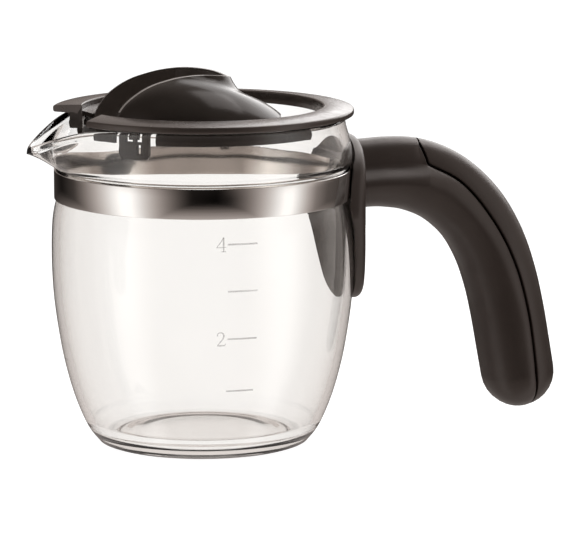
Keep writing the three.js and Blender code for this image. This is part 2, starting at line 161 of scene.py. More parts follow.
def curve_through(points, samples):
    """A smooth curve through the points (centripetal Catmull-Rom), with that many samples per span."""
    pts = np.asarray(points, float)
    pts = np.vstack([2 * pts[0] - pts[1], pts, 2 * pts[-1] - pts[-2]])
    out = []
    for i in range(1, len(pts) - 2):
        knots = [0.0]
        for a, b in zip(pts[i - 1 : i + 2], pts[i : i + 3]):
            knots.append(knots[-1] + max(1e-6, np.linalg.norm(b - a) ** 0.5))
        for t in np.linspace(knots[1], knots[2], samples, endpoint=False):
            level = pts[i - 1 : i + 3]
            for pairs in KNOT_PAIRS:
                ends = [(knots[a], knots[b]) for a, b in pairs]
                level = [
                    (b - t) / (b - a) * level[k] + (t - a) / (b - a) * level[k + 1]
                    for k, (a, b) in enumerate(ends)
                ]
            out.append(level[0])
    out.append(pts[-2])
    return np.array(out)


def rounded(corners, radii, steps=5):
    """A closed outline with each corner rounded by its radius."""
    out = []
    corners = np.asarray(corners, float)
    back, on = np.roll(corners, 1, axis=0) - corners, np.roll(corners, -1, axis=0) - corners
    for here, before, after, radius in zip(corners, back, on, radii):
        if radius <= 0:
            out.append(here)
            continue
        u, v = before / np.linalg.norm(before), after / np.linalg.norm(after)
        half = acos(np.clip(u @ v, -1, 1)) / 2
        cut = radius / tan(half)
        middle = here + (u + v) / np.linalg.norm(u + v) * radius / sin(half)
        start, end = here + u * cut - middle, here + v * cut - middle
        turn = acos(np.clip(start @ end / radius**2, -1, 1))
        for k in range(steps + 1):
            f = k / steps
            mix = (sin((1 - f) * turn) * start + sin(f * turn) * end) / sin(turn)
            out.append(middle + mix)
    return np.array(out)


# --- materials
class Graph:
    """A node tree that is being built."""

    def __init__(self, tree, output):
        self.nodes, self.links = tree.nodes, tree.links
        self.nodes.clear()
        self.output = self.node(output)

    def node(self, kind, inputs=None, **settings):
        """A new node with its settings, and its inputs linked or set."""
        made = self.nodes.new("ShaderNode" + kind)
        for name, value in settings.items():
            setattr(made, name, value)
        for name, value in (inputs or {}).items():
            self.feed(made.inputs[name], value)
        return made

    def feed(self, socket, value):
        if isinstance(value, bpy.types.NodeSocket):
            self.links.new(value, socket)
        else:
            socket.default_value = value

    def math(self, operation, *values, **settings):
        inputs = dict(enumerate(values))
        return self.node("Math", inputs, operation=operation, **settings).outputs["Value"]

    def dot(self, direction, vector):
        inputs = {0: direction, 1: vector}
        return self.node("VectorMath", inputs, operation="DOT_PRODUCT").outputs["Value"]

    def ranged(self, value, start, end, low, high, ease="LINEAR"):
        """Maps the range from start to end on the range from low to high."""
        inputs = {"Value": value, "From Min": start, "From Max": end, "To Min": low, "To Max": high}
        return self.node("MapRange", inputs, interpolation_type=ease).outputs["Result"]

    def eased(self, *mapping):
        return self.ranged(*mapping, "SMOOTHSTEP")

    def noise(self, scale, low, high, detail=3.0, stretch=(1, 1, 1)):
        """A noise of that scale per metre in object space, mapped to the range from low to high."""
        place = self.node("TexCoord").outputs["Object"]
        place = self.node("Mapping", {"Vector": place, "Scale": stretch}).outputs["Vector"]
        noise = self.node("TexNoise", {"Vector": place, "Scale": scale, "Detail": detail}).outputs["Fac"]
        return self.ranged(noise, 0.3, 0.7, low, high)

    def bump(self, height, strength, distance):
        inputs = {"Height": height, "Strength": strength, "Distance": distance}
        return self.node("Bump", inputs).outputs["Normal"]

    def mixed(self, factor, low, high):
        """A colour from low to high."""
        inputs = {"Factor": factor, "A": (*low, 1), "B": (*high, 1)}
        return self.node("Mix", inputs, data_type="RGBA").outputs["Result"]

    def shade(self, inputs):
        shader = self.node("BsdfPrincipled", inputs)
        self.feed(self.output.inputs["Surface"], shader.outputs["BSDF"])


def node_material(name):
    made = bpy.data.materials.new(name)
    made.use_nodes = True
    return made, Graph(made.node_tree, "OutputMaterial")


GLASS_CENTRE = (0.968, 0.958, 0.944)
# The colour where the glass is seen edge on: painted shade in place of dark grazing reflections.
GLASS_EDGE_PAINTED_SHADE = (0.86, 0.845, 0.83)
# How much darker the glass colour is made towards the heel.
HEEL_DARKENING = 0.14


def glass_material():
    """Clear glass, a little darker near the heel, with painted shade where it is seen edge on."""
    made, graph = node_material("blown_glass")
    height = graph.node("SeparateXYZ", {0: graph.node("TexCoord").outputs["Object"]}).outputs["Z"]
    heel = graph.eased(height, 0.004, 0.040, HEEL_DARKENING, 0.0)
    # Painted shade: the colour darkens towards the glass's edges as seen.
    edge = graph.node("LayerWeight", {"Blend": 0.5}).outputs["Facing"]
    tint = graph.math("MULTIPLY_ADD", heel, graph.noise(48, 0.1, 1.9, 1.0), edge, use_clamp=True)
    graph.shade(
        {
            "Transmission Weight": 1.0,
            "IOR": 1.47,
            "Specular IOR Level": 0.13,
            "Base Color": graph.mixed(tint, GLASS_CENTRE, GLASS_EDGE_PAINTED_SHADE),
            "Roughness": graph.noise(60, 0.0, 0.02),
            "Normal": graph.bump(graph.noise(38, 0, 1, 1.0), 0.05, 0.0004),
        }
    )
    return made


def varied(name, fixed, tone, noises, bump=None):
    """A material with some sockets fixed and the others led by noises.

    tone is a noise scale, a dark and a light colour, noises gives sockets a scale, a lowest and a highest
    value, and bump is a scale, a strength and a distance. Each may end in the noise's detail and stretch.
    """
    made, graph = node_material(name)
    scale, dark, light, *kind = tone
    inputs = {**fixed, "Base Color": graph.mixed(graph.noise(scale, 0, 1, *kind), dark, light)}
    for socket, numbers in noises.items():
        inputs[socket] = graph.noise(*numbers)
    if bump:
        scale, strength, distance, *kind = bump
        inputs["Normal"] = graph.bump(graph.noise(scale, 0, 1, *kind), strength, distance)
    graph.shade(inputs)
    return made


METAL = {"Metallic": 1.0}
WARM = {"Specular Tint": (1.0, 0.89, 0.85, 1)}
GLASS = glass_material()
STEEL = varied(
    "polished_steel",
    METAL,
    (25, (0.76, 0.75, 0.735), (0.84, 0.83, 0.815), 2.0),
    {"Roughness": (900, 0.05, 0.11, 2.0, (0.05, 0.05, 1))},
    (1400, 0.02, 0.0001, 2.0, (0.03, 0.03, 1)),
)
# The band's inner face: a brushed finish, with painted reflections as broad light and dark patches in its
# colour.
BRUSHED_PAINTED_REFLECTIONS = varied(
    "brushed_steel_painted_reflections",
    METAL,
    (42, (0.50, 0.48, 0.46), (0.97, 0.96, 0.94), 0.5, (1, 1, 0.2)),
    {"Roughness": (900, 0.08, 0.14, 3.0, (0.05, 0.05, 1))},
    (45, 0.25, 0.002, 1.0),
)
PLATED = varied(
    "zinc_plated_steel",
    METAL,
    (700, (0.52, 0.52, 0.5), (0.7, 0.7, 0.67)),
    {"Roughness": (500, 0.28, 0.45)},
    (2500, 0.15, 0.0001),
)
SATIN = varied(
    "satin_black_plastic",
    {**WARM, "Specular IOR Level": 0.42},
    (90, (0.0430, 0.0335, 0.0290), (0.0510, 0.0405, 0.0355)),
    {"Roughness": (220, 0.32, 0.40)},
    (3600, 0.12, 0.00008, 1.5),
)
MATTE = varied(
    "matte_black_plastic",
    {"Specular IOR Level": 0.15},
    (400, (0.030, 0.024, 0.021), (0.050, 0.042, 0.038)),
    {"Roughness": (300, 0.60, 0.75)},
    (2500, 0.2, 0.0001),
)
GLOSS = varied(
    "gloss_black_plastic",
    {**WARM, "Specular IOR Level": 0.16},
    (120, (0.0290, 0.0238, 0.0205), (0.0360, 0.0300, 0.0260)),
    {"Roughness": (300, 0.15, 0.21)},
    (1800, 0.03, 0.0001),
)
MOULDED = varied(
    "moulded_black_plastic",
    WARM,
    (120, (0.056, 0.046, 0.041), (0.068, 0.056, 0.050)),
    {"Roughness": (300, 0.20, 0.28)},
    (1500, 0.10, 0.00008, 2.0),
)
# The hood's slot walls: the hood's plastic made lighter, painted light where the slot lies in shade.
CHANNEL_PAINTED_LIGHT = varied(
    "satin_channel_painted_light",
    {"Specular IOR Level": 0.2},
    (140, (0.066, 0.055, 0.048), (0.080, 0.067, 0.059)),
    {"Roughness": (300, 0.35, 0.45)},
)
# Painted highlight: a light grey strip along the top of the slot's edge, where that edge catches the light.
RIM_PAINTED_HIGHLIGHT = varied(
    "painted_highlight_edge", {}, (160, (0.30, 0.28, 0.265), (0.42, 0.395, 0.375)), {"Roughness": (300, 0.2, 0.3)}
)
INK = varied(
    "grey_print",
    {},
    (2200, (0.30, 0.28, 0.26), (0.42, 0.40, 0.38)),
    {"Alpha": (90, 0.15, 0.32), "Roughness": (900, 0.5, 0.7)},
)


def set_materials(made, *materials):
    made.data.materials.clear()
    for material in materials:
        made.data.materials.append(material)


def dress(made, material, body, slot, *nodes):
    """Gives the piece a material, unless it is None, and a body, and hides the CAD nodes it stands for. The
    slot is not used.
    """
    if material:
        set_materials(made, material)
    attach(made, body)
    if nodes:
        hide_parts(*nodes)
    return made


# --- glass body
GLASS_STEPS = 320
SPOUT_CROWDING = 0.7
WALL = 2.0
RIM_Z = 88.8
FLOOR_Z = 3.2
INSIDE_FROM_Z = 5.8
PUSH_UP_Z = 1.6
PUSH_UP_RADII = (5.0, 10.0, 15.0, 19.0)
PUSH_UP_FALL = 0.16
PUSH_UP_SPAN = 20
# Outlines in millimetres, as (radius, height).
FLOOR_CORNER = [(30.2, 4.7), (28.6, 3.0), (26.9, 2.1), (25.2, 1.85), (23.4, 2.05)]
FLOOR_CORNER += [(21.2, 2.7), (18.5, 3.1), (14.0, 3.2)]
FOOT = [(22.4, 0.62), (23.8, 0.15), (25.2, 0.03), (26.6, 0.08), (27.7, 0.26)]
BELLY = [(28.6, 0.55), (31.3, 4.0), (34.7, 11.7), (37.5, 21.5), (39.3, 31.3)]
BELLY += [(40.5, 41.2), (40.9, 52.0), (40.6, 60.6), (40.0, 64.4), (39.5, 66.3)]
NECK = [(39.5, 74.9), (40.2, 76.2), (40.4, 77.8), (40.1, 80.4), (39.4, 83.4), (38.6, 86.2), (38.35, 87.7)]
SPOUT_REACH = 10.4
SPOUT_DROP = 6.5
SPOUT_ANGLE = radians(15)
SPOUT_START_Z = 75.2
SPOUT_FULL_Z = 86.9
SPOUT_EASE = 1.25
SPOUT_SHARPNESS = 1.35
OUTSIDE = np.vstack([curve_through(BELLY, 8), curve_through(NECK, 6)])


def glass_underside():
    """From the middle of the pushed-up base out to the foot and the heel."""
    rise = [(r, PUSH_UP_Z * (1 - PUSH_UP_FALL * (r / PUSH_UP_SPAN) ** 2)) for r in PUSH_UP_RADII]
    return np.vstack([rise, curve_through([rise[-1], *FOOT, BELLY[0]], 5)[1:-1]])


def inwards(profile, depth):
    """The profile moved to its left by depth."""
    run = directions(profile)
    return profile + np.column_stack([-run[:, 1], run[:, 0]]) * depth


def glass_radius(z):
    """The outer radius of the glass at a height, away from the spout."""
    return np.interp(z, OUTSIDE[:, 1], OUTSIDE[:, 0])


def with_spout(points):
    """Runs the rim out and down around the spout."""
    x, y, z = points.T
    radius = np.hypot(x, y)
    angle = np.arctan2(y, -x)
    share = np.clip((z - SPOUT_START_Z) / (SPOUT_FULL_Z - SPOUT_START_Z), 0, 1)
    across = np.exp(-((np.abs(angle) / SPOUT_ANGLE) ** SPOUT_SHARPNESS))
    reached = radius + SPOUT_REACH * across * share**SPOUT_EASE
    z = z - SPOUT_DROP * across * share**SPOUT_EASE
    return np.column_stack([-reached * np.cos(angle), reached * np.sin(angle), z])


def build_glass():
    inside = inwards(OUTSIDE, WALL)
    inside = inside[inside[:, 1] > INSIDE_FROM_Z]
    (outer_r, edge_z), inner_r = OUTSIDE[-1], inside[-1, 0]
    middle, half = (outer_r + inner_r) / 2, (outer_r - inner_r) / 2
    arch = np.linspace(0, pi, 11)[1:-1]
    rim = [(middle + half * cos(a), edge_z + (RIM_Z - edge_z) * sin(a)) for a in arch]
    corner = curve_through([inside[0], *FLOOR_CORNER], 5)[1:]
    profile = np.vstack([glass_underside(), OUTSIDE, rim, inside[::-1], corner])
    even = np.linspace(0, 2 * pi, GLASS_STEPS, endpoint=False)
    turns = even + SPOUT_CROWDING * np.sin(even)
    radius, z = profile.T
    points = [np.column_stack([radius * cos(t), radius * sin(t), z]) for t in turns]
    count = len(profile)
    points = with_spout(np.vstack(points))
    faces = grid_faces(GLASS_STEPS, count, wrap_rows=True, wrap_columns=False)
    points = np.vstack([points, [[0, 0, PUSH_UP_Z], [0, 0, FLOOR_Z]]])
    bottom, floor = len(points) - 2, len(points) - 1
    for step in range(GLASS_STEPS):
        after = (step + 1) % GLASS_STEPS
        faces.append((bottom, after * count, step * count))
        faces.append((floor, step * count + count - 1, after * count + count - 1))
    return piece("jug_glass", points, faces, 50)


dress(build_glass(), GLASS, "jug", "glass", "glass_jug")


# --- printed cup marks
MARK_HEIGHTS = (60.2, 47.8, 35.0, 20.6)
MARK_FROM = radians(-97.9)
MARK_TO = radians(-86.6)
MARK_WIDTH = 0.44
MARK_R = 40.0
DIGIT_MIDDLE = radians(-100.35)
DIGIT_HEIGHT = 3.7
DIGIT_WIDTH = 0.7
INK_RAISED = 0.03
# The strokes of each numeral in shares of its width and height, and their widths in millimetres.
DIGITS = {
    "4": [
        ([(0.75, -0.02), (0.75, 0.5), (0.75, 1.0)], [0.3, 0.42, 0.42]),
        ([(0.78, 1.0), (0.42, 0.62), (0.06, 0.3)], [0.2, 0.2, 0.2]),
        ([(0.04, 0.3), (0.5, 0.3), (1.0, 0.3)], [0.2, 0.2, 0.2]),
        ([(0.5, 0.0), (0.75, 0.0), (1.0, 0.0)], [0.18, 0.18, 0.18]),
    ],
    "2": [
        (
            [(0.14, 0.74), (0.16, 0.9), (0.34, 0.99), (0.56, 0.98), (0.76, 0.86), (0.78, 0.7)]
            + [(0.66, 0.5), (0.42, 0.28), (0.14, 0.04)],
            [0.3, 0.26, 0.24, 0.3, 0.4, 0.44, 0.36, 0.26, 0.2],
        ),
        ([(0.12, 0.03), (0.5, 0.03), (0.9, 0.03)], [0.3, 0.34, 0.3]),
        ([(0.9, 0.0), (0.94, 0.1), (0.96, 0.2)], [0.2, 0.18, 0.14]),
    ],
}


def stroke(points, width):
    """A thin raised strip on the glass along points given as (distance round the glass, height)."""
    line = np.asarray(points, float)
    run = directions(line)
    side = np.column_stack([-run[:, 1], run[:, 0]])
    widths = np.broadcast_to(np.asarray(width, float), (len(line),))[:, None] / 2
    sections = []
    for low, high in zip(line - side * widths, line + side * widths):
        ring = []
        for (along, z), lift in zip((low, high, high, low), (-1, -1, 1, 1)):
            radius = float(glass_radius(z)) + lift * INK_RAISED
            angle = along / MARK_R
            ring.append((radius * cos(angle), radius * sin(angle), z))
        sections.append(ring)
    return tube("stroke", sections)


def digit(kind, base_z):
    """The strokes of a small serif numeral whose foot is at base_z."""
    middle = DIGIT_MIDDLE * MARK_R
    made = []
    for points, widths in DIGITS[kind]:
        placed = [
            (middle + (x - 0.5) * DIGIT_HEIGHT * DIGIT_WIDTH, base_z + y * DIGIT_HEIGHT) for x, y in points
        ]
        dense = curve_through(placed, 4) if len(points) > 3 else np.array(placed)
        spread = np.interp(np.linspace(0, 1, len(dense)), np.linspace(0, 1, len(widths)), widths)
        made.append(stroke(dense, spread))
    return made


def join(name, pieces):
    """One object from many, without merging them."""
    points, faces = [], []
    for each in pieces:
        offset = len(points)
        points += [v.co.copy() / MM for v in each.data.vertices]
        faces += [[offset + i for i in p.vertices] for p in each.data.polygons]
        bpy.data.objects.remove(each)
    return piece(name, points, faces)


def build_marks():
    strips = []
    along = np.linspace(MARK_FROM * MARK_R, MARK_TO * MARK_R, 14)
    for z in MARK_HEIGHTS:
        strips.append(stroke(np.column_stack([along, np.full(14, z)]), MARK_WIDTH))
    for kind, z in (("4", MARK_HEIGHTS[0]), ("2", MARK_HEIGHTS[2])):
        strips += digit(kind, z - DIGIT_HEIGHT / 2)
    return join("cup_marks", strips)


dress(build_marks(), INK, "jug", "glass")


# --- neck band
BAND_LOW_Z = 66.7
BAND_HIGH_Z = 74.6
BAND_INNER_R = 39.6
BAND_OUTER_R = 40.1
EAR_INNER_Y = 3.9
EAR_END_X = 47.3
HOOK_Y = 2.5


def build_band():
    half = (BAND_OUTER_R - BAND_INNER_R) / 2
    middle_r = BAND_INNER_R + half
    ear_y = EAR_INNER_Y + half
    start = asin(ear_y / middle_r) + 0.03
    turns = np.linspace(start, 2 * pi - start, 260)
    arc = [(middle_r * cos(t), middle_r * sin(t)) for t in turns]
    upper = [(EAR_END_X - half, HOOK_Y), (EAR_END_X - half, ear_y - 0.5)]
    upper += [(EAR_END_X - half - 0.5, ear_y), (arc[0][0] + 1.2, ear_y), (arc[0][0] + 0.4, ear_y + 0.1)]
    lower = [(x, -y) for x, y in reversed(upper)]
    path = np.array(upper + arc + lower)
    run = directions(path)
    side = np.column_stack([run[:, 1], -run[:, 0]])
    section = rounded(rectangle(-half, half, BAND_LOW_Z, BAND_HIGH_Z), [0.1, 0.16, 0.16, 0.1], 3)
    sections = [
        [(p[0] + s[0] * depth, p[1] + s[1] * depth, z) for depth, z in section]
        for p, s in zip(path, side)
    ]
    return tube("polished_band", sections, 30)


def rough_inside(made, radius, outside, inside):
    """Gives the faces that look at the glass, within the radius, the second material."""
    set_materials(made, outside, inside)
    for face in made.data.polygons:
        outward = Vector((face.center.x, face.center.y, 0))
        if face.normal.dot(outward.normalized()) < -0.5 and outward.length < radius * MM:
            face.material_index = 1
    return made


# The band's faces against the glass take the brushed steel with painted reflections.
dress(rough_inside(build_band(), 39.9, STEEL, BRUSHED_PAINTED_REFLECTIONS), None, "jug", "polished_steel", "clamp_band")

for node in ("band_anchor", "square_nut", "clamp_screw", "screw_washer"):
    set_materials(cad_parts[node], PLATED)


# --- handle
# Lines in the middle plane, in millimetres, as (x, z).
HANDLE_LINE = [(40.0, 70.8), (52.0, 71.0), (60.0, 69.9), (68.8, 66.1), (77.2, 58.6)]
HANDLE_LINE += [(82.8, 49.4), (86.2, 40.1), (88.4, 31.1), (90.5, 20.0), (91.8, 12.9)]
COVER_EDGE_TOP = [(60.2, 84.0), (60.5, 80.0), (61.8, 76.0), (62.4, 73.4)]
COVER_EDGE_LONG = [(62.4, 73.4), (71.8, 68.1), (81.0, 57.0), (87.4, 44.4)]
COVER_EDGE_LONG += [(91.2, 31.0), (93.2, 17.6), (93.7, 12.5)]
ARM_HALF_HEIGHT = 9.4
TAIL_HALF_HEIGHT = 9.93
HANDLE_HALF_WIDTH = 10.5
SECTION_POWER = 2.25
HANDLE_WALL = 2.6
RIB_HALF = 0.6
SEAM_HALF_GAP = 0.27
ARM_START_X = 41.9
# Distance along the line, depth of the step below the upper half, height over which it rounds out.
SHOULDER = ((0, 4.2, 5.2), (20, 4.0, 5.4), (34, 2.5, 5.2), (52, 1.1, 4.2), (75, 0.6, 2.8), (120, 0.5, 2.4))
SHOULDER_S, STEP_DEPTHS, STEP_REACHES = zip(*SHOULDER)
# Distance along the line and the handle's half height there.
HALF_HEIGHTS = [(0, 9.3), (8, 9.4), (14, 9.75), (21, 10.1), (28, 10.2)]
HALF_HEIGHTS += [(42, 10.1), (62, 10.05), (80, 10.02), (92, 9.93)]
HALF_CURVE = curve_through(HALF_HEIGHTS, 8)
ARM_CREASE = 2.9
# The crease leaves the middle of the arm here and has become the seam a little past the corner.
CREASE_TURN_FROM = 14
CREASE_TURN_SHORT = 8
EDGE_RADIUS = 0.4

line = curve_through(HANDLE_LINE, 40)
line_s = np.concatenate([[0], np.cumsum(np.linalg.norm(np.diff(line, axis=0), axis=1))])
line_run = directions(line)
HANDLE_LENGTH = line_s[-1]


def on_line(s):
    """The centre line's point, its direction and its outward normal at a distance along it."""
    point = np.array([np.interp(s, line_s, line[:, k]) for k in (0, 1)])
    run = np.array([np.interp(s, line_s, line_run[:, k]) for k in (0, 1)])
    run /= np.linalg.norm(run)
    return point, run, np.array([-run[1], run[0]])


def nearest_to(point):
    return np.argmin(np.linalg.norm(line - point, axis=1))


def seam_offsets():
    """How far the cover's edge lies off the centre line, by distance along the line."""
    edge = np.vstack([curve_through(COVER_EDGE_TOP, 12)[:-1], curve_through(COVER_EDGE_LONG, 24)])
    found = []
    for point in edge:
        nearest = nearest_to(point)
        outward = np.array([-line_run[nearest][1], line_run[nearest][0]])
        found.append((line_s[nearest], (point - line[nearest]) @ outward))
    found = np.array(found)
    keep = np.concatenate([[True], np.diff(np.maximum.accumulate(found[:, 0])) > 1e-6])
    return found[keep]


SEAM = seam_offsets()
FRONT_S = float(SEAM[np.argmax(SEAM[:, 1] < ARM_HALF_HEIGHT + 0.1), 0])
CORNER_S = line_s[nearest_to(COVER_EDGE_LONG[0])]
JOIN_S = CORNER_S + 0.7


def seam(s):
    return float(np.interp(s, *SEAM.T))


def gap_edge(s, side):
    """The height of the gap's edge round the seam: side is -1 for the body's and 1 for the cover's."""
    steps = np.linspace(-SEAM_HALF_GAP, SEAM_HALF_GAP, 13)
    edge = [seam(s + d) + side * sqrt(max(0.0, SEAM_HALF_GAP**2 - d * d)) for d in steps]
    return side * max(side * height for height in edge)


def crease(s):
    """Where the soft shoulder runs: along the arm, then along the seam."""
    if s >= JOIN_S:
        return seam(s)
    return ARM_CREASE + (seam(JOIN_S) - ARM_CREASE) * (s / JOIN_S) ** 3


def half_height(s):
    return float(np.interp(s, *HALF_CURVE.T))


def oval(angle, high, wide):
    c, d = cos(angle), sin(angle)
    power = 2 / SECTION_POWER
    return high * copysign(abs(c) ** power, c), wide * copysign(abs(d) ** power, d)


def oval_angle(n, high):
    """The angle from the top at which the oval's height is n."""
    share = max(-1.0, min(1.0, n / high))
    return acos(copysign(abs(share) ** (SECTION_POWER / 2), share))


def step_depth(s):
    return float(np.interp(s, SHOULDER_S, STEP_DEPTHS))


def lower_cut(n, middle, s):
    """How far the lower half is cut back at height n, below the step."""
    reach = float(np.interp(s, SHOULDER_S, STEP_REACHES))
    left = max(0.0, 1 - (middle - n) / reach)
    along = min(1.0, max(0.0, (s - CREASE_TURN_FROM) / (CORNER_S - CREASE_TURN_SHORT)))
    along *= along * (3 - 2 * along)
    return step_depth(s) * ((1 - along) * left * left * (3 - 2 * left) + along * left**1.7)


def narrowed(n, y, middle, s):
    """Pulls a point of the full oval in to the stepped section."""
    if n > middle:
        return y * (1 - step_depth(s) / HANDLE_HALF_WIDTH)
    share = abs(y) / HANDLE_HALF_WIDTH
    return copysign(max(0.0, abs(y) - lower_cut(n, middle, s) * share), y)


def edge_rounding(distance, radius):
    """How far the surface turns in at that distance from a rounded edge."""
    f = min(1.0, max(0.0, 1 - distance / radius))
    return radius * (1 - sqrt(1 - f * f))


UPPER_POINTS = 26
LOWER_POINTS = 30
COVER_POINTS = 60
INNER_POINTS = 27
OPEN_ANGLE = radians(20)


def round_angles(start, split):
    """Angles round a section from start to its mirror image, crowded near the split on each side."""
    upper = start + (split - start) * np.sin(np.linspace(0, pi / 2, UPPER_POINTS))
    lower = split + (pi - split) * np.linspace(0, 1, LOWER_POINTS) ** 1.35
    half = np.concatenate([upper, lower[1:]])
    return np.concatenate([half, 2 * pi - half[-2::-1]])


def spaced(count):
    """Steps from 0 to 1 that crowd at both ends."""
    even = np.linspace(0, 1, count)
    return 0.35 * even + 0.65 * (1 - np.cos(pi * even)) / 2


def straight_across(limit, y, scale):
    """The flat inner side of a solid section, from near y to near -y."""
    return [(limit * scale, y * (1 - 2 * f)) for f in np.linspace(0.02, 0.98, INNER_POINTS)]


def round_hollow(s, limit, inner_wide, scale, end):
    """The inner side of a hollow section, from +Y to -Y, or None where there is no room for it."""
    inner_high = half_height(s) - HANDLE_WALL
    if abs(limit) > inner_high - 0.4:
        return None
    start = oval_angle(limit, inner_high)
    angles = np.linspace(start, end - start, INNER_POINTS)
    return [tuple(scale * v for v in oval(a, inner_high, inner_wide)) for a in angles]


def body_section(s, hollow, scale=1.0):
    """One section of the handle body as (offset, y) points, cut off at the gap under the cover."""
    high = half_height(s)
    middle = crease(s)
    limit = min(high, gap_edge(s, -1)) if s > FRONT_S else high
    clipped = limit < high
    if clipped:
        start = oval_angle(limit, high)
    else:
        start = radians(3) + OPEN_ANGLE * max(0.0, 1 - s / FRONT_S)
    split = max(oval_angle(min(middle, limit) - 0.05, high), start + 0.01)
    points = []
    for angle in round_angles(start, split):
        n, y = oval(angle, high, HANDLE_HALF_WIDTH)
        y = narrowed(n, y, middle, s)
        if clipped:
            y = copysign(max(0.0, abs(y) - edge_rounding(limit - n, EDGE_RADIUS)), y)
        points.append((n * scale, y * scale))
    if not clipped:
        angles = np.linspace(start, -start, INNER_POINTS + 2)[1:-1]
        inner = [oval(a, high, HANDLE_HALF_WIDTH) for a in angles]
        inner = [(n * scale, narrowed(n, y, middle, s) * scale) for n, y in inner]
        return points + inner[::-1]
    inner_wide = HANDLE_HALF_WIDTH - HANDLE_WALL - 0.35 * step_depth(s)
    inner = round_hollow(s, limit, inner_wide, scale, 2 * pi) if hollow else None
    return points + (inner or straight_across(limit, points[0][1], scale))[::-1]


def cover_section(s, hollow, scale=1.0):
    high = half_height(s)
    limit = min(gap_edge(s, 1), high - 0.12)
    start = oval_angle(limit, high)
    points = []
    for f in spaced(COVER_POINTS):
        n, y = oval(-start + f * 2 * start, high, HANDLE_HALF_WIDTH)
        y = narrowed(n, y, -high, s)
        y = copysign(max(0.0, abs(y) - edge_rounding(n - limit, EDGE_RADIUS)), y)
        points.append((n * scale, y * scale))
    inner_wide = (HANDLE_HALF_WIDTH - step_depth(s)) - HANDLE_WALL * 0.75
    inner = round_hollow(s, limit, inner_wide, scale, 0) if hollow else None
    return points + (inner or straight_across(limit, points[-1][1], scale))


def place_section(points, s, beyond=0.0):
    centre, run, outward = on_line(s)
    centre = centre + run * beyond
    return [(centre[0] + outward[0] * n, y, centre[1] + outward[1] * n) for n, y in points]


CAP_ANGLES = [radians(a) for a in (0, 12, 24, 36, 48, 58, 67, 75, 81, 86)]
HOLLOW_FROM = FRONT_S + 1.2
COVER_HOLLOW_FROM = CORNER_S + 0.8
start_s = float(np.interp(ARM_START_X, line[:200, 0], line_s[:200]))


def stations(begin, extra):
    even = np.arange(begin, HANDLE_LENGTH, 1.3)
    fine = np.arange(FRONT_S, CORNER_S + 1.0, 0.18)
    both = np.concatenate([even, fine, extra, [begin, HANDLE_LENGTH]])
    both = np.unique(np.round(both[both >= begin - 1e-9], 4))
    keep = [both[0]]
    for value in both[1:]:
        if value - keep[-1] > 0.03 or value == both[-1]:
            keep.append(value)
    return keep


def lofted(name, section, begin, hollow_from):
    """One half of the handle from begin to the round end of the grip, hollow from one station on."""
    sections = []
    for s in stations(begin, [hollow_from]):
        if abs(s - hollow_from) < 0.02:
            sections.append(place_section(section(s, False), s))
        sections.append(place_section(section(s, s > hollow_from - 0.02), s))
    for angle in CAP_ANGLES:
        points = section(HANDLE_LENGTH, False, cos(angle))
        sections.append(place_section(points, HANDLE_LENGTH, TAIL_HALF_HEIGHT * sin(angle)))
    return tube(name, sections, 40)


def build_rib():
    """The rib inside the cover that reaches into the body and closes the groove to light."""
    sides = (RIB_HALF, -RIB_HALF)
    sections = []
    for s in np.linspace(FRONT_S + 0.5, HANDLE_LENGTH, 120):
        high = half_height(s)
        low, top = seam(s) - 1.4, high - HANDLE_WALL + 0.6
        top = min(high - 0.5, max(top, gap_edge(s, 1) + 0.4))
        sections.append(place_section(rectangle(low, top, *sides), s))
    for angle in CAP_ANGLES[1:-2]:
        low, top = (v * cos(angle) for v in (seam(HANDLE_LENGTH) - 0.7, seam(HANDLE_LENGTH) + 1.5))
        beyond = TAIL_HALF_HEIGHT * sin(angle)
        sections.append(place_section(rectangle(low, top, *sides), HANDLE_LENGTH, beyond))
    return tube("rib", sections)


def build_cover():
    made = lofted("handle_grip_cover", cover_section, FRONT_S + 0.3, COVER_HOLLOW_FROM)
    return combine(made, [build_rib()], "UNION", 40)


SHIELD_R = 44.0
SHIELD_MIDDLE_Z = 60.0
SHIELD_CLEAR = 0.35
ARCH_R = 20.0
ARCH_Z = 62.0
SHIELD_SIDE = [(ARCH_R, ARCH_Z), (17.8, 57.4), (13.4, 46.6), (9.4, 40.4), (5.2, 37.6), (0.0, 36.6)]
SHIELD_EDGE_RADIUS = 1.7
SHIELD_TAPER = 0.9
FACE_SHARES = (0.85, 0.68, 0.5, 0.32, 0.15)


def shield_outline():
    arch = [(ARCH_R * cos(a), ARCH_Z + ARCH_R * sin(a)) for a in np.linspace(pi / 2, 0, 22)]
    side = curve_through(SHIELD_SIDE, 7)[1:]
    right = np.vstack([arch, side])
    left = right[1:-1][::-1] * np.array([-1, 1])
    return np.vstack([right, left])


def shield_inner_radius(z):
    over_band = (z > BAND_LOW_Z - 1.0) & (z < BAND_HIGH_Z + 1.0)
    return np.where(over_band, BAND_OUTER_R, glass_radius(z)) + SHIELD_CLEAR


def shield_taper(flat):
    """How much thinner the plate is towards its top."""
    return SHIELD_TAPER * np.clip((flat[:, 1] - 72) / 10, 0, 1) ** 2


def wrapped(flat, radius):
    """Points of a flat outline (y, z) laid on a cylinder."""
    return np.column_stack([np.sqrt(radius**2 - flat[:, 0] ** 2), flat[:, 0], flat[:, 1]])


